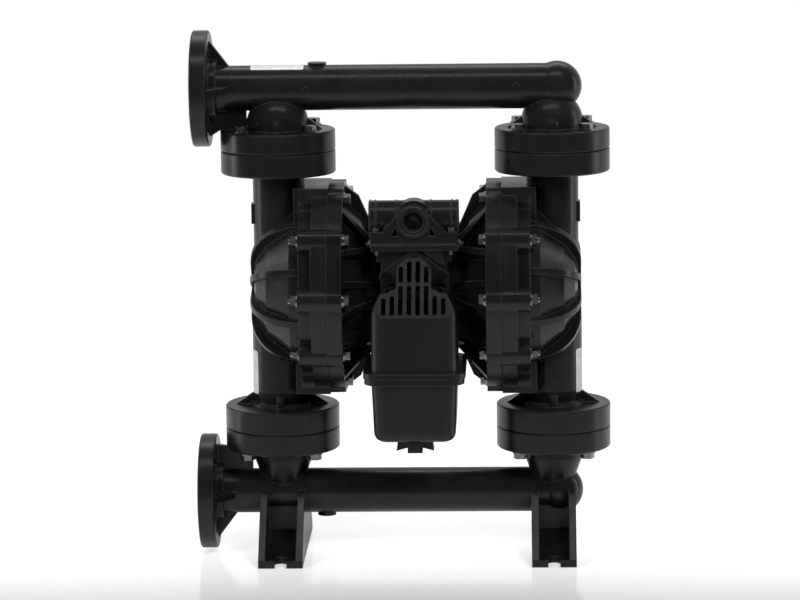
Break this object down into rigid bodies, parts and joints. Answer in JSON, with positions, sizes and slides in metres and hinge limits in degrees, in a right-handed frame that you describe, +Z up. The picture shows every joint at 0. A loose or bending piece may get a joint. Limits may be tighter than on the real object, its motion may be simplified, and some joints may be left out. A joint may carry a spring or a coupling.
{
  "type": "air operated diaphragm pump",
  "caption": "Air operated double diaphragm pump with two ball-valve columns, side-flanged inlet and outlet manifolds, central air valve and muffler",
  "frame": {"origin": "on the floor, midway between the two columns and under their axes: the centre of the pattern of foot slots", "axes": "+Z up, +X along the manifold tubes away from the side flanges, front with air valve and muffler towards -Y"},
  "size_m": [0.5363, 0.306, 0.6836],
  "materials": {
    "wetted_polypropylene": "satin moulded",
    "centre_polypropylene": "satin moulded",
    "muffler_polypropylene": "satin moulded",
    "seat_polypropylene": "machined",
    "acetal_bearing": "machined",
    "stainless_steel": "cold formed",
    "shaft_steel": "ground",
    "plate_aluminium": "cast",
    "insert_brass": "knurled",
    "diaphragm_rubber": "moulded",
    "ball_rubber": "moulded",
    "seal_rubber": "moulded",
    "felt": "felt"
  },
  "bodies": {
    "housing": {"air_cover_left": "centre_polypropylene", "air_cover_right": "centre_polypropylene", "air_cover_screws_left": "stainless_steel", "air_cover_screws_right": "stainless_steel", "air_valve_body": "centre_polypropylene", "air_valve_cap_left": "centre_polypropylene", "air_valve_cap_right": "centre_polypropylene", "air_valve_gasket": "seal_rubber", "air_valve_screws": "stainless_steel", "center_housing": "centre_polypropylene", "cover_bolts_left": "stainless_steel", "cover_bolts_right": "stainless_steel", "cover_nuts_left": "stainless_steel", "cover_nuts_right": "stainless_steel", "cover_washers_left": "stainless_steel", "cover_washers_right": "stainless_steel", "diaphragm_left": "diaphragm_rubber", "diaphragm_right": "diaphragm_rubber", "fluid_cover_left": "wetted_polypropylene", "fluid_cover_right": "wetted_polypropylene", "inlet_bolts": "stainless_steel", "inlet_inserts": "insert_brass", "inlet_manifold": "wetted_polypropylene", "inlet_seat_left": "seat_polypropylene", "inlet_seat_right": "seat_polypropylene", "inlet_washers": "stainless_steel", "muffler_bowl": "muffler_polypropylene", "muffler_clip": "muffler_polypropylene", "muffler_element": "felt", "muffler_hood": "muffler_polypropylene", "muffler_screws": "stainless_steel", "outlet_bolts": "stainless_steel", "outlet_inserts": "insert_brass", "outlet_manifold": "wetted_polypropylene", "outlet_seat_left": "seat_polypropylene", "outlet_seat_right": "seat_polypropylene", "outlet_washers": "stainless_steel", "pilot_bushing_left": "acetal_bearing", "pilot_bushing_right": "acetal_bearing", "seat_rings": "seal_rubber", "shaft_bushing_left": "acetal_bearing", "shaft_bushing_right": "acetal_bearing", "shaft_seal_left": "seal_rubber", "shaft_seal_right": "seal_rubber", "valve_plate": "shaft_steel"},
    "shaft_group": {"diaphragm_shaft": "shaft_steel", "air_side_plate_left": "plate_aluminium", "air_side_plate_right": "plate_aluminium", "fluid_side_plate_left": "wetted_polypropylene", "fluid_side_plate_right": "wetted_polypropylene"},
    "spool_group": {"air_valve_spool": "acetal_bearing", "valve_cup": "acetal_bearing"},
    "pilot_left": {"pilot_pin_left": "shaft_steel"},
    "pilot_right": {"pilot_pin_right": "shaft_steel"},
    "ball_inlet_left": {"inlet_ball_left": "ball_rubber"},
    "ball_inlet_right": {"inlet_ball_right": "ball_rubber"},
    "ball_outlet_left": {"outlet_ball_left": "ball_rubber"},
    "ball_outlet_right": {"outlet_ball_right": "ball_rubber"}
  },
  "joints": [
    {"name": "shaft_slide", "type": "slide", "parent": "housing", "child": "shaft_group", "axis": [1, 0, 0], "range_m": [-0.015, 0.015], "deforming": ["diaphragm_left", "diaphragm_right"]},
    {"name": "spool_slide", "type": "slide", "parent": "housing", "child": "spool_group", "axis": [1, 0, 0], "range_m": [-0.006, 0.006]},
    {"name": "pilot_left_slide", "type": "slide", "parent": "housing", "child": "pilot_left", "axis": [1, 0, 0], "range_m": [0, 0.005]},
    {"name": "pilot_right_slide", "type": "slide", "parent": "housing", "child": "pilot_right", "axis": [-1, 0, 0], "range_m": [0, 0.005]},
    {"name": "inlet_ball_left_lift", "type": "slide", "parent": "housing", "child": "ball_inlet_left", "axis": [0, 0, 1], "range_m": [0, 0.014]},
    {"name": "inlet_ball_right_lift", "type": "slide", "parent": "housing", "child": "ball_inlet_right", "axis": [0, 0, 1], "range_m": [0, 0.014]},
    {"name": "outlet_ball_left_lift", "type": "slide", "parent": "housing", "child": "ball_outlet_left", "axis": [0, 0, 1], "range_m": [0, 0.014]},
    {"name": "outlet_ball_right_lift", "type": "slide", "parent": "housing", "child": "ball_outlet_right", "axis": [0, 0, 1], "range_m": [0, 0.014]}
  ]
}
